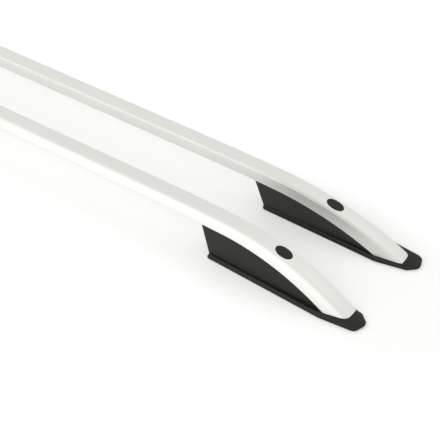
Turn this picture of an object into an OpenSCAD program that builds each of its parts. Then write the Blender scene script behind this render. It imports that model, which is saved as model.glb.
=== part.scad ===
// A pair of roof side rails. Each is a hollow bent rail with a moulded foot at both ends.
// X runs along the rails, Z is up and the feet stand on z = 0. The left and right rails lie side by side.

/* [Pair] */
// Overall length of each rail with its feet
overall_l = 1800; // [1400:10:2400]
// Distance between the centre lines of the two rails
pair_gap = 124; // [90:1:400]
// How far one rail lies ahead of the other
pair_stagger = 6.5; // [0:0.5:60]

/* [Rail section] */
// Depth of the rail from its crease to its flat underside
rail_h = 19; // [16:0.5:26]
// Radius of the crowned top and outer side
crown_r = 42; // [36:0.5:60]
// Radius that turns the outer side under
under_r = 3.5; // [2.8:0.1:4]
// Width of the bevel along the inner top edge
crease_cut = 1.5; // [0.6:0.1:2]
// Wall of the hollow rail
rail_wall = 2.2; // [1.4:0.1:2.6]
// Height of the small ribs inside the rail
rail_rib_h = 2.4; // [1:0.1:3]

/* [Rail bend] */
// Height of the crease above the roof along the straight run
crease_h = 67.7; // [58:0.1:80]
// Inward lean of each rail, in degrees
lean = 6.8; // [3:0.1:8]
// Radius of the gentle shoulder before the bend
shoulder_r = 3000; // [2000:50:5000]
// Angle turned by the shoulder, in degrees
shoulder_a = 2.1; // [1:0.1:3]
// Radius of the bend down to the tip
bend_r = 402; // [380:1:430]

/* [Foot] */
// Length of the foot along the rail
foot_l = 231; // [210:1:260]
// Centre line of the rail to the straight inner edge of the foot
foot_in = 16; // [14:0.5:20]
// Centre line of the rail to the widest point of the foot's outer edge
foot_out = 23.8; // [20:0.2:28]
// Radius in plan of the foot's bowed outer edge
foot_bow_r = 3000; // [2000:50:5000]
// Plan radius of the nose on the outer side
nose_out_r = 18; // [10:0.5:20]
// Plan radius of the nose on the inner side
nose_in_r = 12.5; // [8:0.5:16]
// Height of the foot's base above the roof
base_h = 7.2; // [6:0.1:9]
// Distance from the nose's tip to the end of the rail
tip_back = 20; // [16:0.5:30]
// Step from the base's edge in to the web
web_step = 3; // [2:0.1:5]
// How far the web's rear edge leans over towards the middle
rear_rake = 13; // [4:0.5:20]
// Wall of the foot moulding
foot_wall = 2.8; // [2:0.1:3.6]
// Thickness of the stiffening ribs in the foot
foot_rib = 2; // [1.4:0.1:3]
// Number of pockets along the foot's hollow
pockets = 5; // [3:1:7]
// Width of the raised rim along the web's rear edge
rim_w = 2.4; // [1.6:0.1:4]
// How far that rim stands out from the web
rim_proud = 0.9; // [0.4:0.1:1.6]

/* [Gasket] */
// Thickness of the rubber gasket
gasket_t = 1.6; // [1:0.1:3]
// Step from the base's edge in to the gasket
gasket_step = 1.2; // [0.4:0.1:3]
// Width of the gasket's band
gasket_band = 5; // [3:0.5:7]

/* [Fixings] */
// Distance from the nose's tip to the plug
plug_back = 128; // [112:1:150]
// Distance across the rail from its inner side to the plug
plug_in = 13; // [12:0.5:15]
// Radius of the plug
plug_r = 10; // [8:0.1:10.5]
// Radius of the nominal thread of all the fixings
thread_r = 3; // [2.5:0.25:3.5]
// Outer radius of the threaded inserts
insert_r = 4.5; // [4:0.1:5]
// Length of the roof inserts
roof_insert_l = 14; // [10:0.5:18]
// Length of the insert for the rail's screw
rail_insert_l = 10; // [8:0.5:14]
// Distance from the foot's rear edge to the first roof insert
insert_back = 30; // [24:1:40]
// Distance between the two roof inserts
insert_pitch = 100; // [80:1:110]
// Thickness of the washer
washer_t = 1.4; // [1:0.1:2]
// Outer radius of the washer
washer_r = 6.5; // [6:0.1:7.5]

/* [Clearances] */
// Gap between the rail and what it sits on
seat_gap = 0.15; // [0.05:0.05:0.3]
// Gap round the plug in its hole
plug_gap = 0.25; // [0.1:0.05:0.5]
// Gap round a screw's shank in a clearance hole
shank_gap = 0.4; // [0.2:0.05:0.6]

/* [Hidden] */

silver = [0.86, 0.87, 0.85];
black = [0.13, 0.13, 0.12];
rubber = [0.07, 0.07, 0.07];
steel = [0.62, 0.63, 0.65];
brass = [0.78, 0.62, 0.32];

fine_fn = 1440;
round_fn = 64;
hull_fn = 32;
eps = 0.02;

// The rail's section has its first axis up from the crease and its second axis outwards.
under_up = under_r - rail_h;
under_out = sqrt(pow(crown_r - under_r, 2) - pow(crown_r + under_up, 2));
under_turn = atan2(crown_r + under_up, under_out);
rail_w = under_out + under_r;

// The crease line lies this far inside the centre line of the foot.
crease_in = 19;

// Places along the bend, in the plane that the rail bends in, with x = 0 at mid-length.
rail_tip_x = overall_l / 2 - tip_back;
tip_drop = (crease_h - base_h) / cos(lean);
shoulder_drop = shoulder_r * (1 - cos(shoulder_a));
// Angle at which the crease reaches the level of the cut, and the straight run that leads to it.
tip_a = acos(cos(shoulder_a) - (tip_drop - shoulder_drop) / bend_r);
straight_end = round(10 * (rail_tip_x - bend_r * sin(tip_a) - (shoulder_r - bend_r) * sin(shoulder_a))) / 10;
bend_cx = straight_end + (shoulder_r - bend_r) * sin(shoulder_a);
bend_cz = (shoulder_r - bend_r) * cos(shoulder_a) - shoulder_r;
bend_end_a = round(tip_a + 8);
plug_a = asin((overall_l / 2 - plug_back - bend_cx) / bend_r);
plug_tilt = asin(plug_in / crown_r);
plug_up = sqrt(crown_r * crown_r - plug_in * plug_in) - crown_r;

// The rail's section, stepped in from its outer surface. Only the outer surface has the crease's bevel.
module section(inset) {
    far = 2 * crown_r;
    bevel = inset > 0 ? 0 : crease_cut;
    intersection() {
        translate([-crown_r, 0]) circle(r = crown_r - inset, $fn = fine_fn);
        polygon([
            [inset - rail_h, inset],
            [inset - rail_h, under_out],
            [under_up, under_out],
            [under_up + far * sin(under_turn), under_out + far * cos(under_turn)],
            [far, inset + (bevel > 0 ? far + bevel : 0)],
            [-inset - bevel, inset]
        ]);
    }
    translate([under_up, under_out]) circle(r = under_r - inset, $fn = round_fn);
}

// Small ribs on the inside of the rail's floor, which guide the screw's washer.
module floor_ribs() {
    for (side = [-1, 1])
        translate([rail_wall - rail_h - eps, plug_in + side * (washer_r + 1.4) - 0.8])
            square([rail_rib_h, 1.6]);
}

function coarse(v) = round(10 * v) / 10;

// Moves a shape in a coarse and a fine step, so that rounding opens no gap where two arcs meet.
module exactly(v) {
    translate([for (c = v) coarse(c)]) translate([for (c = v) c - coarse(c)]) children();
}

// An arc of the rail about an axis across it, between two slopes.
module arc_sweep(r, from_a, to_a) {
    rotate([90, 0, 0]) rotate_extrude(angle = to_a - from_a, start = 90 - to_a, $fn = fine_fn)
        translate([r, 0]) children();
}

// Sweeps a section along half the rail, from mid-length to past the tip.
module half_sweep() {
    rotate([0, 90, 0]) rotate([0, 0, 180]) linear_extrude(straight_end) children();
    translate([straight_end, 0, -shoulder_r]) arc_sweep(shoulder_r, 0, shoulder_a) children();
    exactly([bend_cx, 0, bend_cz]) arc_sweep(bend_r, shoulder_a, bend_end_a) children();
}

// Carries the leaning plane of the bend into the frame of the pair, with the outer side towards -Y.
module leaning() {
    translate([0, crease_in, crease_h]) rotate([-lean, 0, 0]) children();
}

// Puts a shape at the middle of the rail's width under the plug, square to the rail's floor.
module at_screw() {
    leaning() translate([bend_cx, 0, bend_cz]) rotate([0, plug_a, 0]) translate([0, -plug_in, bend_r]) children();
}

// Puts a shape on the rail's crowned surface, square to it, at the plug's centre.
module at_plug() {
    leaning() translate([bend_cx, 0, bend_cz]) rotate([0, plug_a, 0]) translate([0, 0, bend_r - crown_r])
        rotate([plug_tilt, 0, 0]) translate([0, 0, crown_r]) children();
}

// A cylinder along the rail that follows its crown, seen from the plug's centre.
module crown_bar(r, l) {
    translate([0, 0, -crown_r]) rotate([0, 90, 0]) cylinder(r = r, h = l, center = true, $fn = fine_fn);
}

hole_r = plug_r + plug_gap;
ring_r = hole_r + 1.6;
ring_deep = 0.4;
screw_hole_r = thread_r + shank_gap;

// One half of the rail, cut level at its tip, with the plug's hole and the screw's hole.
module half_rail() {
    difference() {
        leaning() half_sweep() difference() {
            section(0);
            difference() {
                section(rail_wall);
                floor_ribs();
            }
        }
        translate([0, -overall_l / 2, base_h + seat_gap - overall_l]) cube(overall_l);
        at_plug() translate([0, 0, -rail_wall - 2.5]) cylinder(r = hole_r, h = rail_wall + 6, $fn = round_fn);
        at_plug() difference() {
            translate([0, 0, -3]) cylinder(r = ring_r, h = 6, $fn = round_fn);
            crown_bar(crown_r - ring_deep, 4 * ring_r);
        }
        at_screw() translate([0, 0, -rail_h - 1]) cylinder(r = screw_hole_r, h = rail_wall + 2, $fn = round_fn);
    }
}

module rail() {
    half_rail();
    mirror([1, 0, 0]) half_rail();
}

// Plan outline of the foot, stepped in from its edge, with the nose pulled back.
module foot_plan(step, nose_back) {
    front = overall_l / 2 - step - nose_back;
    rear = overall_l / 2 - foot_l + step;
    out_r = nose_out_r - step;
    in_r = nose_in_r - step;
    intersection() {
        translate([overall_l / 2 - 10, foot_bow_r - foot_out]) circle(r = foot_bow_r - step, $fn = fine_fn);
        union() {
            translate([rear, -foot_out]) square([front - out_r - rear, foot_out + foot_in - step]);
            translate([rear, 0]) square([front - in_r - rear, foot_in - step]);
            translate([rear, out_r + step - foot_out])
                square([front - rear, foot_out - out_r - step + foot_in - step - in_r]);
            translate([front - out_r, out_r + step - foot_out]) circle(r = out_r, $fn = round_fn);
            translate([front - in_r, foot_in - step - in_r]) circle(r = in_r, $fn = round_fn);
        }
    }
}

// The base of the foot with its rounded edge, one blend of level slices.
module foot_base() {
    slices = [[gasket_t, 0.5, 0], [gasket_t + 0.7, 0, 0], [3.4, 0, 0.4], [4.8, 0.6, 2], [6, 1.4, 5], [base_h, 2.8, 9]];
    hull() for (s = slices)
        translate([0, 0, s[0] - (s[0] == base_h ? eps : 0)])
            linear_extrude(eps) foot_plan(s[1], s[2], $fn = hull_fn);
}

web_rear = overall_l / 2 - foot_l;
web_top = crease_h - rail_h + 8;

// Side view of the web, from its raked rear edge to the nose.
module web_side(inset) {
    rake = rear_rake / (crease_h - rail_h - base_h);
    polygon([
        [web_rear + inset + rake * (base_h - gasket_t), 0],
        [web_rear + inset, base_h],
        [web_rear + inset - rake * (web_top - base_h), web_top],
        [web_rear + foot_l / 2, web_top],
        [rail_tip_x, base_h + 12],
        [rail_tip_x, 0]
    ]);
}

// A slab that follows the web's side view, between its inner and outer faces.
module web_slab(step, inset) {
    intersection() {
        translate([0, foot_in - step, 0]) rotate([90, 0, 0])
            linear_extrude(foot_in + foot_out) web_side(inset);
        translate([overall_l / 2 - 10, foot_bow_r - foot_out, -1])
            cylinder(r = foot_bow_r - step, h = web_top + 2, $fn = fine_fn);
    }
}

// Side view of the space under the rail, from a level below its underside down.
module under_profile(below) {
    low = rail_h + below;
    far = overall_l;
    intersection() {
        union() {
            translate([0, -far]) square([straight_end, far - low]);
            translate([straight_end, -shoulder_r]) circle(r = shoulder_r - low, $fn = fine_fn);
        }
        exactly([bend_cx, bend_cz]) union() {
            rotate(-shoulder_a) translate([-far, -far]) square([far, 2 * far]);
            circle(r = bend_r - low, $fn = fine_fn);
        }
    }
}

module under_rail(below) {
    leaning() translate([0, rail_w, 0]) rotate([90, 0, 0]) linear_extrude(3 * rail_w) under_profile(below);
}

insert_x = [web_rear + insert_back, web_rear + insert_back + insert_pitch];
insert_y = -1;
boss_r = insert_r + foot_wall;
rail_boss_deep = rail_insert_l + 3;

module rail_boss(r) {
    at_screw() translate([0, 0, -rail_h - seat_gap - rail_boss_deep]) cylinder(r = r, h = rail_boss_deep, $fn = round_fn);
}

// The hollow under the foot, between its walls, ribs and bosses.
module foot_pockets() {
    x0 = web_rear + foot_wall;
    run = foot_l - tip_back - 62;
    pitch = run / pockets;
    difference() {
        intersection() {
            web_slab(web_step + foot_wall, foot_wall);
            under_rail(seat_gap + foot_wall);
            union() for (i = [0:pockets - 1])
                translate([x0 + i * pitch - (i == 0 ? rear_rake + foot_wall : 0), -foot_out, -1])
                    cube([pitch - foot_rib + (i == 0 ? rear_rake + foot_wall : 0), foot_in + foot_out, web_top]);
        }
        for (x = insert_x)
            translate([x, insert_y, 0]) cylinder(r = boss_r, h = gasket_t + roof_insert_l + 3, $fn = round_fn);
        rail_boss(boss_r);
        translate([x0 - foot_l / 2, insert_y - foot_rib / 2, -1]) cube([2 * foot_l, foot_rib, web_top]);
    }
}

module foot() {
    difference() {
        union() {
            foot_base();
            intersection() {
                union() {
                    web_slab(web_step, 0);
                    difference() {
                        web_slab(web_step - rim_proud, -rim_proud);
                        translate([rim_w, 0, 0]) web_slab(-1, -rim_proud);
                    }
                }
                translate([0, -overall_l / 2, base_h - 1]) cube(overall_l);
                under_rail(seat_gap);
            }
        }
        foot_pockets();
        for (x = insert_x)
            translate([x, insert_y, 0]) cylinder(r = insert_r, h = gasket_t + roof_insert_l, $fn = round_fn);
        at_screw() translate([0, 0, -rail_h - seat_gap - rail_insert_l])
            cylinder(r = insert_r, h = rail_insert_l + 5, $fn = round_fn);
    }
}

module gasket() {
    difference() {
        linear_extrude(gasket_t) foot_plan(gasket_step, 0);
        difference() {
            translate([0, 0, -1]) linear_extrude(gasket_t + 2) foot_plan(gasket_step + gasket_band, 0);
            for (x = insert_x)
                translate([x - boss_r - 1, -foot_out, -2]) cube([2 * boss_r + 2, foot_in + foot_out, gasket_t + 4]);
            translate([overall_l / 2 - tip_back - 40, -foot_out, -2])
                cube([tip_back + 40, foot_in + foot_out, gasket_t + 4]);
        }
        for (x = insert_x)
            translate([x, insert_y, -1]) cylinder(r = insert_r + 0.5, h = gasket_t + 2, $fn = round_fn);
    }
}

plug_dome = 0.35;
plug_deep = 5;
snap_proud = 0.5;

// The plug follows the rail's crown. It has a raised rim, a dished middle and a snap ring under the wall.
module plug() {
    at_plug() difference() {
        union() {
            intersection() {
                translate([0, 0, -4]) cylinder(r = plug_r, h = 8, $fn = round_fn);
                crown_bar(crown_r + plug_dome, 4 * plug_r);
                translate([0, 0, -4]) cube(8 + 4 * plug_r, center = true);
            }
            translate([0, 0, -plug_deep]) cylinder(r = plug_r - 0.6, h = plug_deep - 2, $fn = round_fn);
        }
        difference() {
            translate([0, 0, -4]) cylinder(r = plug_r - 1.4, h = 8, $fn = round_fn);
            crown_bar(crown_r - 0.25, 4 * plug_r);
        }
        translate([0, 0, -plug_deep - 1]) cylinder(r = plug_r - 2, h = plug_deep - 1.6, $fn = round_fn);
    }
}

head_h = 3.6;
head_r = 5.4;
socket_r = 2.3;
screw_l = 11;

// Pan head screw with a hexagon socket, seated on its washer.
module screw() {
    at_screw() translate([0, 0, rail_wall + washer_t - rail_h]) {
        difference() {
            union() {
                cylinder(r = head_r, h = head_h - 0.8, $fn = round_fn);
                translate([0, 0, head_h - 0.8]) cylinder(r1 = head_r, r2 = head_r - 1, h = 0.8, $fn = round_fn);
                translate([0, 0, -screw_l]) cylinder(r = thread_r - 0.1, h = screw_l, $fn = round_fn);
            }
            translate([0, 0, head_h - 2.2]) cylinder(r = socket_r, h = 3, $fn = 6);
        }
    }
}

module washer() {
    at_screw() translate([0, 0, rail_wall - rail_h]) difference() {
        cylinder(r = washer_r, h = washer_t, $fn = round_fn);
        translate([0, 0, -1]) cylinder(r = thread_r + shank_gap, h = washer_t + 2, $fn = round_fn);
    }
}

// A threaded sleeve with two grooves that key it in the moulding.
module insert(l) {
    difference() {
        cylinder(r = insert_r, h = l, $fn = round_fn);
        translate([0, 0, -1]) cylinder(r = thread_r, h = l + 2, $fn = round_fn);
        for (z = [l * 0.3, l * 0.62])
            translate([0, 0, z]) difference() {
                cylinder(r = insert_r + 1, h = 1.2, $fn = round_fn);
                translate([0, 0, -1]) cylinder(r = insert_r - 0.5, h = 4, $fn = round_fn);
            }
    }
}

module rail_insert() {
    at_screw() translate([0, 0, -rail_h - seat_gap - rail_insert_l]) insert(rail_insert_l);
}

module roof_inserts() {
    for (x = insert_x) translate([x, insert_y, gasket_t]) insert(roof_insert_l);
}

// Puts a part made for the left rail's front end where it belongs. The left rail lies at -Y.
module place(right, rear) {
    mirror([0, right ? 1 : 0, 0])
        translate([right ? pair_stagger / 2 : -pair_stagger / 2, -pair_gap / 2, 0])
            mirror([rear ? 1 : 0, 0, 0]) children();
}

color(silver) place(false, false) rail();  // left_rail
color(silver) place(true, false) rail();  // right_rail
color(black) place(false, false) foot();  // left_front_foot
color(black) place(false, true) foot();  // left_rear_foot
color(black) place(true, false) foot();  // right_front_foot
color(black) place(true, true) foot();  // right_rear_foot
color(rubber) place(false, false) gasket();  // left_front_gasket
color(rubber) place(false, true) gasket();  // left_rear_gasket
color(rubber) place(true, false) gasket();  // right_front_gasket
color(rubber) place(true, true) gasket();  // right_rear_gasket
color(black) place(false, false) plug();  // left_front_plug
color(black) place(false, true) plug();  // left_rear_plug
color(black) place(true, false) plug();  // right_front_plug
color(black) place(true, true) plug();  // right_rear_plug
color(steel) place(false, false) screw();  // left_front_screw
color(steel) place(false, true) screw();  // left_rear_screw
color(steel) place(true, false) screw();  // right_front_screw
color(steel) place(true, true) screw();  // right_rear_screw
color(steel) place(false, false) washer();  // left_front_washer
color(steel) place(false, true) washer();  // left_rear_washer
color(steel) place(true, false) washer();  // right_front_washer
color(steel) place(true, true) washer();  // right_rear_washer
color(brass) place(false, false) rail_insert();  // left_front_rail_insert
color(brass) place(false, true) rail_insert();  // left_rear_rail_insert
color(brass) place(true, false) rail_insert();  // right_front_rail_insert
color(brass) place(true, true) rail_insert();  // right_rear_rail_insert
color(brass) place(false, false) roof_inserts();  // left_front_roof_inserts
color(brass) place(false, true) roof_inserts();  // left_rear_roof_inserts
color(brass) place(true, false) roof_inserts();  // right_front_roof_inserts
color(brass) place(true, true) roof_inserts();  // right_rear_roof_inserts
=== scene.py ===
import math

import bmesh
import bpy
from mathutils import Euler, Matrix, Vector


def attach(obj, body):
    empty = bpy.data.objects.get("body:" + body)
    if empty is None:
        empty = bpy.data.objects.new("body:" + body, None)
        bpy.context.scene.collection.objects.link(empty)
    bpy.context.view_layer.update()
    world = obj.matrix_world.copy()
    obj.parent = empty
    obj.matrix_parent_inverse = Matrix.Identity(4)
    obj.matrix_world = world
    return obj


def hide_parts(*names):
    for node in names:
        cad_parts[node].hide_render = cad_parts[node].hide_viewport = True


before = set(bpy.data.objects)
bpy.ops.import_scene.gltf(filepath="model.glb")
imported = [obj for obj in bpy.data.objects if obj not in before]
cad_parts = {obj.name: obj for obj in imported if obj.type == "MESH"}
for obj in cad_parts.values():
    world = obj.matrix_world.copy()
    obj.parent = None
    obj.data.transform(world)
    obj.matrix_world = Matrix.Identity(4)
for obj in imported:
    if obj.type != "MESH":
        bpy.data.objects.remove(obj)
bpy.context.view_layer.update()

# Camera, fitted to the photograph: places in metres, angles in degrees
IMAGE_PX = 440
FOCAL_PX = 1373
SENSOR_MM = 36
CAMERA_AT = (1.4255, -1.159, 1.263)
CAMERA_YAW = 34.48
CAMERA_PITCH = 42.07
CAMERA_ROLL = 0.22
CAMERA_CLIP = 50

# Colours, linear
SILVER = (0.735, 0.745, 0.705, 1)
BLACK = (0.0145, 0.014, 0.0125, 1)
RUBBER = (0.018, 0.018, 0.018, 1)
STEEL = (0.60, 0.61, 0.63, 1)
BRASS = (0.72, 0.55, 0.26, 1)
PAPER = (0.86, 0.855, 0.84, 1)
PAPER_GLOW = (1, 1, 0.995, 1)
WHITE = (1, 1, 1, 1)

# Light, and the floor, in metres: it glows less near the rails than far from them
WORLD_LIGHT = 0.6
WORLD_SEEN = 1.0
FLOOR_LIFT_NEAR = 0.37
FLOOR_LIFT_FAR = 0.53
FLOOR_NEAR = 0.09
FLOOR_FAR = 0.2
FLOOR_HALF = 12
FLOOR_DROP = 0.0004
LAMPS_LOOK_AT = (0.6, 0, 0.03)

# A noise texture's values lie mostly between these
NOISE_LOW = 0.3
NOISE_HIGH = 0.7


class Material:
    """A node material with a Principled shader and object coordinates in metres."""

    def __init__(self, name, colour, roughness, metallic=0.0, specular=0.5):
        self.m = bpy.data.materials.new(name)
        self.m.use_nodes = True
        self.tree = self.m.node_tree
        self.shader = self.tree.nodes["Principled BSDF"]
        self.shader.inputs["Base Color"].default_value = colour
        self.shader.inputs["Roughness"].default_value = roughness
        self.shader.inputs["Metallic"].default_value = metallic
        self.shader.inputs["Specular IOR Level"].default_value = specular
        self.coords = self.add("ShaderNodeTexCoord")

    def add(self, kind, **values):
        node = self.tree.nodes.new(kind)
        for key, value in values.items():
            setattr(node, key, value)
        return node

    def link(self, a, b):
        self.tree.links.new(a, b)

    def noise(self, scale, detail=3, stretch=(1, 1, 1)):
        mapping = self.add("ShaderNodeMapping")
        mapping.inputs["Scale"].default_value = stretch
        self.link(self.coords.outputs["Object"], mapping.inputs["Vector"])
        noise = self.add("ShaderNodeTexNoise")
        noise.inputs["Scale"].default_value = scale
        noise.inputs["Detail"].default_value = detail
        self.link(mapping.outputs["Vector"], noise.inputs["Vector"])
        return noise.outputs["Fac"]

    def span(self, value, low, high):
        """Maps the usual values of a noise texture to low to high."""
        node = self.add("ShaderNodeMapRange")
        node.inputs["From Min"].default_value = NOISE_LOW
        node.inputs["From Max"].default_value = NOISE_HIGH
        node.inputs["To Min"].default_value = low
        node.inputs["To Max"].default_value = high
        self.link(value, node.inputs["Value"])
        return node.outputs["Result"]

    def vary_colour(self, value, a, b):
        node = self.add("ShaderNodeMix", data_type="RGBA")
        self.link(value, node.inputs["Factor"])
        node.inputs["A"].default_value = a
        node.inputs["B"].default_value = b
        self.link(node.outputs["Result"], self.shader.inputs["Base Color"])

    def vary_roughness(self, value, low, high):
        self.link(self.span(value, low, high), self.shader.inputs["Roughness"])

    def bump(self, value, distance, strength):
        node = self.add("ShaderNodeBump")
        node.inputs["Distance"].default_value = distance
        node.inputs["Strength"].default_value = strength
        self.link(value, node.inputs["Height"])
        self.link(node.outputs["Normal"], self.shader.inputs["Normal"])


def shade(colour, factor):
    return tuple(c * factor for c in colour[:3]) + (1,)


def anodised():
    """Satin anodised aluminium with the faint lines that extrusion leaves along X."""
    mat = Material("anodised_silver", SILVER, roughness=0.50, metallic=1.0)
    lines = mat.noise(scale=900, detail=2, stretch=(0.012, 1, 1))
    cloud = mat.noise(scale=9)
    mat.vary_colour(mat.span(cloud, 0, 1), shade(SILVER, 0.985), shade(SILVER, 1.015))
    mat.vary_roughness(cloud, low=0.47, high=0.53)
    mat.bump(lines, distance=0.00002, strength=0.5)
    return mat.m


def moulded():
    """Black moulded plastic with a fine spark-eroded grain."""
    mat = Material("moulded_black", BLACK, roughness=0.46, specular=0.25)
    grain = mat.noise(scale=2600, detail=2)
    cloud = mat.noise(scale=14)
    mat.vary_colour(mat.span(cloud, 0, 1), shade(BLACK, 0.9), shade(BLACK, 1.12))
    mat.vary_roughness(cloud, low=0.42, high=0.5)
    mat.bump(grain, distance=0.00003, strength=0.6)
    return mat.m


def rubber():
    """Matt black rubber with a slight mottle."""
    mat = Material("gasket_rubber", RUBBER, roughness=0.78, specular=0.3)
    grain = mat.noise(scale=1500)
    mat.vary_colour(mat.span(grain, 0, 1), shade(RUBBER, 0.8), shade(RUBBER, 1.25))
    mat.bump(grain, distance=0.00005, strength=0.6)
    return mat.m


def turned(name, colour, roughness):
    """Bare turned metal with fine marks."""
    mat = Material(name, colour, roughness, metallic=1.0)
    grain = mat.noise(scale=1200, detail=2, stretch=(1, 1, 0.1))
    mat.vary_colour(mat.span(grain, 0, 1), shade(colour, 0.92), shade(colour, 1.06))
    mat.vary_roughness(grain, roughness - 0.05, roughness + 0.05)
    mat.bump(grain, distance=0.00002, strength=0.4)
    return mat.m


# Sizes in millimetres, in the frame of one rail's front end: X along it, the outer side at -Y
MM = 0.001
OVERALL_L = 1800
PAIR_GAP = 124
PAIR_STAGGER = 6.5

# Rail section, from the crease line, with the steps of its round stretches
RAIL_H = 15.8
CROWN_R = 88.9
CROWN_W = 19.5
SIDE_R = 11
OUTER_FLARE = math.radians(20.6)
INNER_FLARE = math.radians(13.5)
UNDER_TILT = math.radians(2.8)
CREASE_R = 2.6
EDGE_R = 0.8
RAIL_WALL = 2.2
EDGE_STEPS = 3
CREASE_STEPS = 6
CROWN_STEPS = 8
SIDE_STEPS = 14

# Rail bend: the search for the end of each line goes a little past the tip's slope
CREASE_H = 67.7
CREASE_IN = 19
LEAN = math.radians(7.6)
SHOULDER_R = 3000
SHOULDER_A = math.radians(2.1)
BEND_R = 402
UNDER_TIGHTER = 27
SHOULDER_STEPS = 8
BEND_STEPS = 72
SEARCH_PAST = math.radians(14)
SEARCH_STEPS = 40

# Foot: base and nose
FOOT_L = 235
OUTER_REAR = 16.6
OUTER_WIDE = 26.4
INNER_REAR = 16
INNER_WIDE = 19.3
WIDE_BACK = 56
WIDE_OUT_R = 20
WIDE_IN_R = 12
NOSE_OUTER = 22.5
NOSE_INNER = 10.5
NOSE_R = 10.5
NOSE_OUT_BACK = 1
NOSE_TIP_R = 9
NOSE_TIP_Y = -5
NOSE_TIP_AHEAD = 1.5
NOSE_IN_R = 8
NOSE_IN_BACK = 6.5
CORNER_R = 3
LEAST_CORNER_R = 0.5
OUTLINE_STEPS = 96
BASE_H = 7.2
EDGE_H = 3.4
EDGE_IN = 2.8
EDGE_POWER = 1.8
NOSE_SLOPE = 9
NOSE_POWER = 1.5
SLOPE_STEPS = 6
TIP_BACK = 20

# The base's rounded lower edge: (height over the gasket, step in)
BASE_ROUND = ((0, 0.5), (0.25, 0.12), (0.7, 0))

# Foot: web, pockets and bosses
WEB_OUT_REAR = 12.3
WEB_OUT_WIDE = 19.5
WEB_IN = 14.2
WEB_BACK = 0.2
WEB_CORNER_R = 2
WEB_SUNK = 1
WEB_END_STEP = 0.5
RAKE_BACK = 11
RAKE_TOP = 50
RAKE_FADE = 60
FOOT_WALL = 2.8
FOOT_RIB = 2
POCKETS = 5
POCKET_BACK = 82
BOSS_CAP = 3

# Places along the web: close together at its rounded start, then about a pitch apart
START_PLACES = (0, 0.15, 0.4, 0.8, 1.3, 2)
PLACE_PITCH = 4

# Gasket, plug and fixings
GASKET_T = 1.6
GASKET_STEP = 1.2
GASKET_BAND = 5
GASKET_HOLE_GAP = 0.5
PAD_PAST_BOSS = 1
NOSE_PAD = 40
PLUG_BACK = 127
PLUG_IN = 13.3
PLUG_L = 25
PLUG_W = 15.8
PLUG_GAP = 0.4
OVAL_POWER = 2.15
OVAL_STEPS = 56
DRUM_STEPS = 48
SEAT_GAP = 0.15
SCREW_HOLE_R = 3.4
INSERT_R = 4.5
INSERT_Y = -1
ROOF_INSERT_L = 14
RAIL_INSERT_L = 10
INSERT_BACK = (201, 101)

# How far a cut passes the faces that it opens
CUT_PAST = 1
BORE_PAST = 5
PLUG_CUT_BELOW = 2.5
PLUG_CUT_ABOVE = 3.5

# The plug's profile from its skirt over its rim to its middle: (step in, height over the crown)
PLUG_RINGS = (
    (1.6, -5.0), (0.6, -4.6), (0.6, -2.4), (0.0, -2.0), (0.0, -0.5), (0.1, -0.25), (0.35, 0.05), (0.7, 0.22),
    (1.1, 0.25), (1.4, 0.2), (1.6, 0.08), (1.9, 0.02), (3.0, 0.06), (5.0, 0.12), (7.0, 0.14),
)

# Meshes: the greatest distance at which points merge, in metres, and the least angle of a sharp edge
MERGE_DISTANCE = 1e-7
SHARP_A = math.radians(28)

# Worked out from the sizes above
END_X = OVERALL_L / 2
INSERT_X = tuple(END_X - back for back in INSERT_BACK)
TIP_X = END_X - TIP_BACK
WEB_REAR = END_X - FOOT_L + WEB_BACK
REAR_RAKE = RAKE_BACK / (RAKE_TOP - BASE_H)
BOSS_R = INSERT_R + FOOT_WALL
TIP_DROP = (CREASE_H - BASE_H) / math.cos(LEAN)
SHOULDER_DROP = SHOULDER_R * (1 - math.cos(SHOULDER_A))
TIP_A = math.acos(math.cos(SHOULDER_A) - (TIP_DROP - SHOULDER_DROP) / BEND_R)
STRAIGHT_END = TIP_X - BEND_R * math.sin(TIP_A) - (SHOULDER_R - BEND_R) * math.sin(SHOULDER_A)
BEND_CX = STRAIGHT_END + (SHOULDER_R - BEND_R) * math.sin(SHOULDER_A)
BEND_CZ = (SHOULDER_R - BEND_R) * math.cos(SHOULDER_A) - SHOULDER_R
SEARCH_END_A = TIP_A + SEARCH_PAST
TURN_A = math.asin(CROWN_W / CROWN_R)
PLUG_A = math.asin((END_X - PLUG_BACK - BEND_CX) / BEND_R)
LEANING = Matrix.Translation((0, CREASE_IN, CREASE_H)) @ Matrix.Rotation(-LEAN, 4, "X")
AT_BEND = LEANING @ Matrix.Translation((BEND_CX, 0, BEND_CZ)) @ Matrix.Rotation(PLUG_A, 4, "Y")
AT_PLUG = (
    AT_BEND
    @ Matrix.Translation((0, 0, BEND_R - CROWN_R))
    @ Matrix.Rotation(math.asin(PLUG_IN / CROWN_R), 4, "X")
    @ Matrix.Translation((0, 0, CROWN_R))
)
AT_SCREW = AT_BEND @ Matrix.Translation((0, -PLUG_IN, BEND_R))


def arc(centre, radius, start, end, steps):
    """Points on an arc of a section, with angles from its upward axis towards its outer side."""
    points = []
    for i in range(steps + 1):
        a = start + (end - start) * i / steps
        points.append((centre[0] + radius * math.cos(a), centre[1] + radius * math.sin(a)))
    return points


def corner(before, at, after, radius, steps):
    """Points that round the corner of a section at one place, between two others."""
    a = Vector((before[0] - at[0], before[1] - at[1])).normalized()
    b = Vector((after[0] - at[0], after[1] - at[1])).normalized()
    half = a.angle(b) / 2
    centre = Vector(at) + (a + b).normalized() * radius / math.sin(half)
    reach = radius / math.tan(half)
    start = Vector(at) + a * reach - centre
    end = Vector(at) + b * reach - centre
    points = []
    for i in range(steps + 1):
        t = i / steps
        points.append(tuple(centre + start.slerp(end, t)))
    return points


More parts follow.
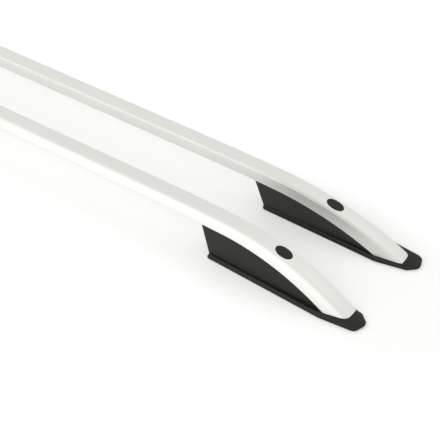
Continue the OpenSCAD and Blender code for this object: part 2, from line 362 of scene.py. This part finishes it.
def section(inset, depth):
    """The rail's outline as (up, outwards) from the crease: its skin, or its hollow with an inset."""
    crown = CROWN_R - inset
    turn_reach = CROWN_R - SIDE_R
    turn_c = (turn_reach * math.cos(TURN_A) - CROWN_R, turn_reach * math.sin(TURN_A))
    side_r = SIDE_R - inset
    side_up = turn_c[0] + side_r * math.sin(OUTER_FLARE)
    side_out = turn_c[1] + side_r * math.cos(OUTER_FLARE)
    low = inset - depth
    inner_side = inset / math.cos(INNER_FLARE)
    crease = (-inset, inner_side - inset * math.tan(INNER_FLARE))
    inner_low = (low, inner_side + low * math.tan(INNER_FLARE))
    outer_w = side_out + (side_up - low) * math.tan(OUTER_FLARE)
    drop = outer_w * math.tan(UNDER_TILT)
    outer_low = (low - drop, outer_w + drop * math.tan(OUTER_FLARE))
    crease_r = max(CREASE_R - inset, EDGE_R)
    crown_start = math.asin((crease[1] + crease_r) / crown)
    outwards = (crease[0], crease[1] + 1)
    points = corner(outer_low, inner_low, crease, EDGE_R, EDGE_STEPS)
    points += corner(inner_low, crease, outwards, crease_r, CREASE_STEPS)[:-1]
    points += arc((-CROWN_R, 0), crown, crown_start, TURN_A, CROWN_STEPS)
    points += arc(turn_c, side_r, TURN_A, math.pi / 2 - OUTER_FLARE, SIDE_STEPS)[1:]
    points += corner((side_up, side_out), outer_low, inner_low, EDGE_R, EDGE_STEPS)
    return points


def deeper(a):
    """How much deeper the rail is at a slope along the bend than along its straight run."""
    return UNDER_TIGHTER * (1 - math.cos(a - SHOULDER_A)) if a > SHOULDER_A else 0


def low_at_plug(gap):
    """Height in the screw's frame of a face that lies a gap below the rail's underside."""
    return -RAIL_H - deeper(PLUG_A) - gap


def rail_place(point, a):
    """A point of the section carried to a slope along the shoulder or along the bend."""
    up, out = point
    if a > SHOULDER_A:
        x = BEND_CX + (BEND_R + up) * math.sin(a)
        z = BEND_CZ + (BEND_R + up) * math.cos(a)
    else:
        x = STRAIGHT_END + (SHOULDER_R + up) * math.sin(a)
        z = (SHOULDER_R + up) * math.cos(a) - SHOULDER_R
    return LEANING @ Vector((x, -out, z))


def tip_slope(inset, index, level):
    """The slope at which one line of the rail comes down to a level, found by halving a range."""
    low, high = SHOULDER_A, SEARCH_END_A
    for _ in range(SEARCH_STEPS):
        a = (low + high) / 2
        if rail_place(section(inset, RAIL_H + deeper(a))[index], a).z > level:
            low = a
        else:
            high = a
    return low


def half_lines(inset):
    """The rail's lines from mid-length to its tip, one list of points for each point of the section."""
    straight = section(inset, RAIL_H)
    lines = []
    for k in range(len(straight)):
        line = []
        for x in (0, STRAIGHT_END / 2):
            line.append(LEANING @ Vector((x, -straight[k][1], straight[k][0])))
        for i in range(SHOULDER_STEPS):
            line.append(rail_place(straight[k], SHOULDER_A * i / SHOULDER_STEPS))
        end = tip_slope(inset, k, BASE_H + SEAT_GAP)
        for i in range(BEND_STEPS + 1):
            a = SHOULDER_A + (end - SHOULDER_A) * i / BEND_STEPS
            line.append(rail_place(section(inset, RAIL_H + deeper(a))[k], a))
        lines.append(line)
    return lines


def new_object(name, points, faces):
    """A mesh object from points in millimetres."""
    mesh = bpy.data.meshes.new(name)
    mesh.from_pydata([tuple(c * MM for c in p) for p in points], [], faces)
    obj = bpy.data.objects.new(name, mesh)
    bpy.context.scene.collection.objects.link(obj)
    work = bmesh.new()
    work.from_mesh(mesh)
    bmesh.ops.remove_doubles(work, verts=work.verts, dist=MERGE_DISTANCE)
    bmesh.ops.recalc_face_normals(work, faces=work.faces)
    work.to_mesh(mesh)
    work.free()
    return obj


def band(a, b, n):
    """The faces between two closed loops of n points, which start at points a and b."""
    faces = []
    for k in range(n):
        m = (k + 1) % n
        faces.append((a + k, a + m, b + m, b + k))
    return faces


def loft(name, loops):
    """A solid over closed loops with the same number of points, with a flat face at each end."""
    n = len(loops[0])
    last = (len(loops) - 1) * n
    points = [p for loop in loops for p in loop]
    faces = []
    for start in range(0, last, n):
        faces += band(start, start + n, n)
    faces.append(tuple(range(n)))
    faces.append(tuple(range(last, last + n)))
    return new_object(name, points, faces)


def combine(obj, other, operation):
    """Adds another solid to an object or cuts it out, and deletes the other."""
    modifier = obj.modifiers.new(operation, "BOOLEAN")
    modifier.operation = operation
    modifier.object = other
    modifier.solver = "EXACT"
    bpy.context.view_layer.update()
    result = obj.evaluated_get(bpy.context.evaluated_depsgraph_get())
    mesh = bpy.data.meshes.new_from_object(result)
    obj.modifiers.clear()
    obj.data = mesh
    bpy.data.objects.remove(other)


def drum(matrix, radius, bottom, top):
    """A round bar along Z of a frame."""
    turns = [2 * math.pi * i / DRUM_STEPS for i in range(DRUM_STEPS)]
    circle = [(radius * math.cos(a), radius * math.sin(a)) for a in turns]
    return loft("drum", [[matrix @ Vector((x, y, z)) for x, y in circle] for z in (bottom, top)])


def oval(length, width):
    """A nearly elliptic outline, longer along X."""
    points = []
    for i in range(OVAL_STEPS):
        a = 2 * math.pi * (i + 0.5) / OVAL_STEPS
        x, y = math.cos(a), math.sin(a)
        grow = (abs(x) ** OVAL_POWER + abs(y) ** OVAL_POWER) ** (-1 / OVAL_POWER)
        points.append((length / 2 * x * grow, width / 2 * y * grow))
    return points


def build_rail():
    """The hollow rail with its oval holes on top and its screw holes below."""
    shells = (half_lines(0), half_lines(RAIL_WALL))
    n = len(shells[0])
    count = len(shells[0][0])
    # From the rear tip to the front tip: (place along the lines, sign of X)
    rows = [(j, -1) for j in range(count - 1, 0, -1)] + [(j, 1) for j in range(count)]
    last = (len(rows) - 1) * n
    points, faces = [], []
    for lines in shells:
        base = len(points)
        for j, side in rows:
            points += [(side * line[j].x, line[j].y, line[j].z) for line in lines]
        for start in range(base, base + last, n):
            faces += band(start, start + n, n)
    hollow = len(points) // 2
    for end in (0, last):
        faces += band(end, hollow + end, n)
    rail = new_object("rail", points, faces)
    edge = oval(PLUG_L + 2 * PLUG_GAP, PLUG_W + 2 * PLUG_GAP)
    levels = (-RAIL_WALL - PLUG_CUT_BELOW, PLUG_CUT_ABOVE)
    low = low_at_plug(0)
    for flip in (1, -1):
        mirror = Matrix.Diagonal((flip, 1, 1, 1))
        loops = [[mirror @ AT_PLUG @ Vector((x, y, z)) for x, y in edge] for z in levels]
        combine(rail, loft("hole", loops), "DIFFERENCE")
        screw_hole = drum(mirror @ AT_SCREW, SCREW_HOLE_R, low - CUT_PAST, low + RAIL_WALL + CUT_PAST)
        combine(rail, screw_hole, "DIFFERENCE")
    return rail


def build_plug():
    """The oval plug: a rounded rim round a dished middle that follows the rail's crown."""
    loops = []
    for step, height in PLUG_RINGS:
        loop = []
        for x, y in oval(PLUG_L - 2 * step, PLUG_W - 2 * step):
            crown = math.sqrt(CROWN_R * CROWN_R - y * y) - CROWN_R - x * x / (2 * BEND_R)
            loop.append(AT_PLUG @ Vector((x, y, crown + height)))
        loops.append(loop)
    return loft("plug", loops)


def outline(step, nose_back):
    """Plan outline of the foot, stepped in from its edge: discs with a taut band round them."""
    front = END_X - nose_back
    corner_r = max(CORNER_R, step + LEAST_CORNER_R)
    rear = END_X - FOOT_L + corner_r
    wide = END_X - WIDE_BACK
    discs = (
        (rear, corner_r - OUTER_REAR, corner_r),
        (rear, INNER_REAR - corner_r, corner_r),
        (wide, WIDE_OUT_R - OUTER_WIDE, WIDE_OUT_R),
        (wide, INNER_WIDE - WIDE_IN_R, WIDE_IN_R),
        (front - NOSE_OUT_BACK - NOSE_R, NOSE_R - NOSE_OUTER, NOSE_R),
        (front + NOSE_TIP_AHEAD - NOSE_TIP_R, NOSE_TIP_Y, NOSE_TIP_R),
        (front - NOSE_IN_BACK - NOSE_IN_R, NOSE_INNER - NOSE_IN_R, NOSE_IN_R),
    )
    points = []
    for i in range(OUTLINE_STEPS):
        a = 2 * math.pi * i / OUTLINE_STEPS
        x, y, r = max(discs, key=lambda d: d[0] * math.cos(a) + d[1] * math.sin(a) + d[2])
        r -= step
        points.append((x + r * math.cos(a), y + r * math.sin(a)))
    return points


def foot_base():
    """The base: a rounded lower edge, an upright band, and a slope that grows longer at the nose."""
    levels = [(GASKET_T + up, step, 0) for up, step in BASE_ROUND]
    for i in range(SLOPE_STEPS + 1):
        t = i / SLOPE_STEPS
        z = EDGE_H + t * (BASE_H - EDGE_H)
        levels.append((z, EDGE_IN * t**EDGE_POWER, NOSE_SLOPE * t**NOSE_POWER))
    return loft("base", [[(x, y, z) for x, y in outline(step, nose)] for z, step, nose in levels])


def under_rail(x, y, below):
    """Height at a place in plan of a face that lies some way below the rail's underside."""
    r = BEND_R - UNDER_TIGHTER - RAIL_H - below
    cx = BEND_CX + UNDER_TIGHTER * math.sin(SHOULDER_A)
    cz = BEND_CZ + UNDER_TIGHTER * math.cos(SHOULDER_A)
    if x < STRAIGHT_END:
        deep = -RAIL_H - below
    elif x < cx + r * math.sin(SHOULDER_A):
        deep = math.sqrt((SHOULDER_R - RAIL_H - below) ** 2 - (x - STRAIGHT_END) ** 2) - SHOULDER_R
    else:
        deep = cz + math.sqrt(max(r * r - (x - cx) ** 2, 0))
    across = (math.tan(LEAN) - math.tan(UNDER_TILT)) * (CREASE_IN - y)
    return CREASE_H + across + deep / math.cos(LEAN)


def web_row(x, inset, floor, below, half=0):
    """Corners of the web's section at one place, or of the outer (-1) or inner (1) half of its hollow."""
    back = min(max(x - WEB_REAR - inset, 0), WEB_CORNER_R)
    drawn = WEB_CORNER_R - math.sqrt(WEB_CORNER_R**2 - (WEB_CORNER_R - back) ** 2)
    spread = (WEB_OUT_WIDE - WEB_OUT_REAR) / (FOOT_L - WEB_BACK - WIDE_BACK)
    outer = -(WEB_OUT_REAR + spread * (x - WEB_REAR) - inset - drawn)
    inner = WEB_IN - inset - drawn
    inner_low = inner - BASE_H * math.tan(LEAN) + floor * math.tan(LEAN)
    inner_high = inner + (under_rail(x, inner, below) - BASE_H) * math.tan(LEAN)
    if half > 0:
        outer = INSERT_Y + FOOT_RIB / 2
    if half < 0:
        inner_low = INSERT_Y - FOOT_RIB / 2
        inner_high = inner_low
    outer_top = under_rail(x, outer, below)
    inner_top = under_rail(x, inner_high, below)
    fade = max(0, 1 - (x - WEB_REAR) / RAKE_FADE)
    row = []
    for y, z in ((outer, floor), (outer, outer_top), (inner_high, inner_top), (inner_low, floor)):
        z = max(z, floor)
        row.append((x - REAR_RAKE * (z - BASE_H) * fade, y, z))
    return row


def stations(start, end):
    """Places along X for the rows of the web or of one hollow."""
    near = START_PLACES[-1]
    rest = end - start - near
    count = max(2, math.ceil(rest / PLACE_PITCH))
    places = [start + s for s in START_PLACES]
    places += [start + near + rest * (i + 1) / count for i in range(count)]
    return places


def web_end():
    """The furthest place at which the web still stands above the base."""
    x = TIP_X
    while under_rail(x, 0, SEAT_GAP) < BASE_H:
        x -= WEB_END_STEP
    return x


def roof_drum(x, radius, top):
    """An upright round bar at a roof insert's place, from below the foot to a height."""
    return drum(Matrix.Translation((x, INSERT_Y, 0)), radius, -CUT_PAST, top)


def build_hollow(start, pitch, half):
    """One pocket on one side of the foot's middle rib, less the bosses that stand in it."""
    places = stations(start, start + pitch - FOOT_RIB)
    rows = [web_row(x, FOOT_WALL, 0, SEAT_GAP + FOOT_WALL, half) for x in places]
    hollow = loft("hollow", rows)
    for x in INSERT_X:
        if start - BOSS_R < x < start + pitch + BOSS_R:
            combine(hollow, roof_drum(x, BOSS_R, GASKET_T + ROOF_INSERT_L + BOSS_CAP), "DIFFERENCE")
    seat = low_at_plug(SEAT_GAP)
    combine(hollow, drum(AT_SCREW, BOSS_R, seat - RAIL_INSERT_L - BOSS_CAP, seat), "DIFFERENCE")
    return hollow


def build_foot():
    """The moulded foot: a base, the web that carries the rail, and ribbed pockets open below."""
    foot = foot_base()
    rows = [web_row(x, 0, BASE_H - WEB_SUNK, SEAT_GAP) for x in stations(WEB_REAR, web_end())]
    combine(foot, loft("web", rows), "UNION")
    start = WEB_REAR + FOOT_WALL
    pitch = (END_X - POCKET_BACK - start) / POCKETS
    for i in range(POCKETS):
        for half in (-1, 1):
            combine(foot, build_hollow(start + i * pitch, pitch, half), "DIFFERENCE")
    for x in INSERT_X:
        combine(foot, roof_drum(x, INSERT_R, GASKET_T + ROOF_INSERT_L), "DIFFERENCE")
    seat = low_at_plug(SEAT_GAP)
    combine(foot, drum(AT_SCREW, INSERT_R, seat - RAIL_INSERT_L, seat + BORE_PAST), "DIFFERENCE")
    return foot


def prism(points, bottom, top):
    """An upright solid over an outline in plan."""
    return loft("prism", [[(x, y, z) for x, y in points] for z in (bottom, top)])


def clipped(points, low, high):
    """The part of a convex outline between two places along X."""
    kept = []
    for i, p in enumerate(points):
        q = points[(i + 1) % len(points)]
        if low <= p[0] <= high:
            kept.append(p)
        for x in sorted((low, high), key=lambda v: abs(v - p[0])):
            if (p[0] - x) * (q[0] - x) < 0:
                kept.append((x, p[1] + (q[1] - p[1]) * (x - p[0]) / (q[0] - p[0])))
    return kept


def build_gasket():
    """A rubber band round the foot's edge, with a pad round each roof insert and under the nose."""
    gasket = prism(outline(GASKET_STEP, 0), 0, GASKET_T)
    inner = outline(GASKET_STEP + GASKET_BAND, 0)
    pad = BOSS_R + PAD_PAST_BOSS
    above = GASKET_T + CUT_PAST
    edges = [END_X - FOOT_L]
    for x in INSERT_X:
        edges += [x - pad, x + pad]
    edges.append(TIP_X - NOSE_PAD)
    for low, high in zip(edges[::2], edges[1::2]):
        combine(gasket, prism(clipped(inner, low, high), -CUT_PAST, above), "DIFFERENCE")
    for x in INSERT_X:
        combine(gasket, roof_drum(x, INSERT_R + GASKET_HOLE_GAP, above), "DIFFERENCE")
    return gasket


def placed(source, node, right, rear):
    """A copy of a piece made for the left rail's front end, in the place of its node."""
    stagger = PAIR_STAGGER / 2 if right else -PAIR_STAGGER / 2
    to_end = Matrix.Diagonal((-1 if rear else 1, 1, 1, 1))
    move = Matrix.Translation((stagger * MM, -PAIR_GAP / 2 * MM, 0))
    to_side = Matrix.Diagonal((1, -1 if right else 1, 1, 1))
    mesh = source.data.copy()
    mesh.transform(to_side @ move @ to_end)
    if rear != right:
        mesh.flip_normals()
    obj = bpy.data.objects.new("shown_" + node, mesh)
    bpy.context.scene.collection.objects.link(obj)
    mesh.shade_smooth()
    mesh.set_sharp_from_angle(angle=SHARP_A)
    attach(obj, "root")
    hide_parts(node)
    return obj


def shape_pieces():
    """Shapes the rails, feet, plugs and gaskets in the places of their nodes."""
    shown = {}
    sources = {
        "rail": build_rail(),
        "foot": build_foot(),
        "plug": build_plug(),
        "gasket": build_gasket(),
    }
    for right in (False, True):
        side = "right" if right else "left"
        shown[side + "_rail"] = placed(sources["rail"], side + "_rail", right, False)
        for rear in (False, True):
            end = side + ("_rear_" if rear else "_front_")
            for kind in ("foot", "plug", "gasket"):
                shown[end + kind] = placed(sources[kind], end + kind, right, rear)
    for source in sources.values():
        bpy.data.objects.remove(source)
    return shown


def dress(shown):
    """Gives every piece its material by the last word of its node's name."""
    looks = {
        "rail": anodised(),
        "foot": moulded(),
        "plug": moulded(),
        "gasket": rubber(),
        "screw": turned("zinc_steel", STEEL, roughness=0.32),
        "washer": turned("zinc_washer", STEEL, roughness=0.36),
        "insert": turned("brass_insert", BRASS, roughness=0.30),
        "inserts": turned("brass_roof_insert", BRASS, roughness=0.30),
    }
    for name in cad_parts:
        mat = looks[name.split("_")[-1]]
        for obj in (bpy.data.objects[name], shown.get(name)):
            if obj:
                obj.data.materials.clear()
                obj.data.materials.append(mat)


def add_camera():
    """The camera of the photograph."""
    data = bpy.data.cameras.new("camera")
    data.sensor_fit = "HORIZONTAL"
    data.sensor_width = SENSOR_MM
    data.lens = FOCAL_PX / IMAGE_PX * SENSOR_MM
    data.clip_end = CAMERA_CLIP
    camera = bpy.data.objects.new("camera", data)
    turn = Euler((math.radians(90 - CAMERA_PITCH), 0, math.radians(CAMERA_YAW))).to_matrix()
    turn = turn @ Matrix.Rotation(math.radians(CAMERA_ROLL), 3, "Z")
    camera.matrix_world = Matrix.Translation(CAMERA_AT) @ turn.to_4x4()
    bpy.context.scene.collection.objects.link(camera)
    bpy.context.scene.camera = camera


def seen_directly(tree):
    """1 for rays from the camera, reflections and refractions, and 0 for light on surfaces."""
    path = tree.nodes.new("ShaderNodeLightPath")
    total = path.outputs["Is Camera Ray"]
    for ray in ("Is Glossy Ray", "Is Transmission Ray"):
        add = tree.nodes.new("ShaderNodeMath")
        add.operation = "MAXIMUM"
        tree.links.new(total, add.inputs[0])
        tree.links.new(path.outputs[ray], add.inputs[1])
        total = add.outputs[0]
    return total


def lift_by_distance(mat):
    """How much the floor glows at a place, less beside the rails, so that their shadows show."""
    axes = mat.add("ShaderNodeSeparateXYZ")
    mat.link(mat.coords.outputs["Object"], axes.inputs[0])
    along = mat.add("ShaderNodeMath", operation="ABSOLUTE")
    mat.link(axes.outputs["X"], along.inputs[0])
    past = mat.add("ShaderNodeMath", operation="SUBTRACT")
    mat.link(along.outputs[0], past.inputs[0])
    past.inputs[1].default_value = END_X * MM
    past_end = mat.add("ShaderNodeMath", operation="MAXIMUM")
    mat.link(past.outputs[0], past_end.inputs[0])
    past_end.inputs[1].default_value = 0
    flat = mat.add("ShaderNodeCombineXYZ")
    mat.link(past_end.outputs[0], flat.inputs["X"])
    mat.link(axes.outputs["Y"], flat.inputs["Y"])
    length = mat.add("ShaderNodeVectorMath", operation="LENGTH")
    mat.link(flat.outputs[0], length.inputs[0])
    lift = mat.add("ShaderNodeMapRange", interpolation_type="SMOOTHSTEP")
    mat.link(length.outputs["Value"], lift.inputs["Value"])
    lift.inputs["From Min"].default_value = FLOOR_NEAR
    lift.inputs["From Max"].default_value = FLOOR_FAR
    lift.inputs["To Min"].default_value = FLOOR_LIFT_NEAR
    lift.inputs["To Max"].default_value = FLOOR_LIFT_FAR
    return lift.outputs["Result"]


def add_floor():
    """A pale floor that looks white to the camera and keeps the shadows."""
    mesh = bpy.data.meshes.new("floor")
    corners = [(FLOOR_HALF * x, FLOOR_HALF * y, 0) for x, y in ((-1, -1), (1, -1), (1, 1), (-1, 1))]
    mesh.from_pydata(corners, [], [(0, 1, 2, 3)])
    floor = bpy.data.objects.new("floor", mesh)
    floor.location.z = -FLOOR_DROP
    bpy.context.scene.collection.objects.link(floor)
    mat = Material("paper_floor", PAPER, roughness=0.9, specular=0.0)
    tree = mat.tree
    glow = mat.add("ShaderNodeEmission")
    glow.inputs["Color"].default_value = PAPER_GLOW
    lift = mat.add("ShaderNodeMath", operation="MULTIPLY")
    mat.link(seen_directly(tree), lift.inputs[0])
    mat.link(lift_by_distance(mat), lift.inputs[1])
    mat.link(lift.outputs[0], glow.inputs["Strength"])
    both = mat.add("ShaderNodeAddShader")
    mat.link(mat.shader.outputs[0], both.inputs[0])
    mat.link(glow.outputs[0], both.inputs[1])
    mat.link(both.outputs[0], tree.nodes["Material Output"].inputs["Surface"])
    mesh.materials.append(mat.m)


def add_world():
    """White where it is seen, and a soft grey light from all round."""
    world = bpy.data.worlds.new("world")
    world.use_nodes = True
    bpy.context.scene.world = world
    tree = world.node_tree
    tree.nodes.clear()
    light = tree.nodes.new("ShaderNodeBackground")
    light.inputs["Strength"].default_value = WORLD_LIGHT
    seen = tree.nodes.new("ShaderNodeBackground")
    seen.inputs["Strength"].default_value = WORLD_SEEN
    for shader in (light, seen):
        shader.inputs["Color"].default_value = WHITE
    mix = tree.nodes.new("ShaderNodeMixShader")
    out = tree.nodes.new("ShaderNodeOutputWorld")
    tree.links.new(seen_directly(tree), mix.inputs[0])
    tree.links.new(light.outputs[0], mix.inputs[1])
    tree.links.new(seen.outputs[0], mix.inputs[2])
    tree.links.new(mix.outputs[0], out.inputs["Surface"])


def add_softbox(name, at, size, power):
    """A soft lamp at a place in metres, with its size in metres and its power in watts."""
    data = bpy.data.lights.new(name, "AREA")
    data.shape = "RECTANGLE"
    data.size, data.size_y = size
    data.energy = power
    lamp = bpy.data.objects.new(name, data)
    back = Vector(at) - Vector(LAMPS_LOOK_AT)
    lamp.matrix_world = Matrix.Translation(at) @ back.to_track_quat("Z", "Y").to_matrix().to_4x4()
    bpy.context.scene.collection.objects.link(lamp)


def add_light():
    """A faint lamp behind and a wide one in front."""
    add_softbox("key", at=(1.7, 1.3, 2.6), size=(1.0, 1.0), power=2)
    add_softbox("front", at=(-0.1, -2.0, 1.2), size=(3.4, 2.6), power=20)


dress(shape_pieces())
add_camera()
add_world()
add_floor()
add_light()
bpy.context.scene.view_settings.view_transform = "Standard"
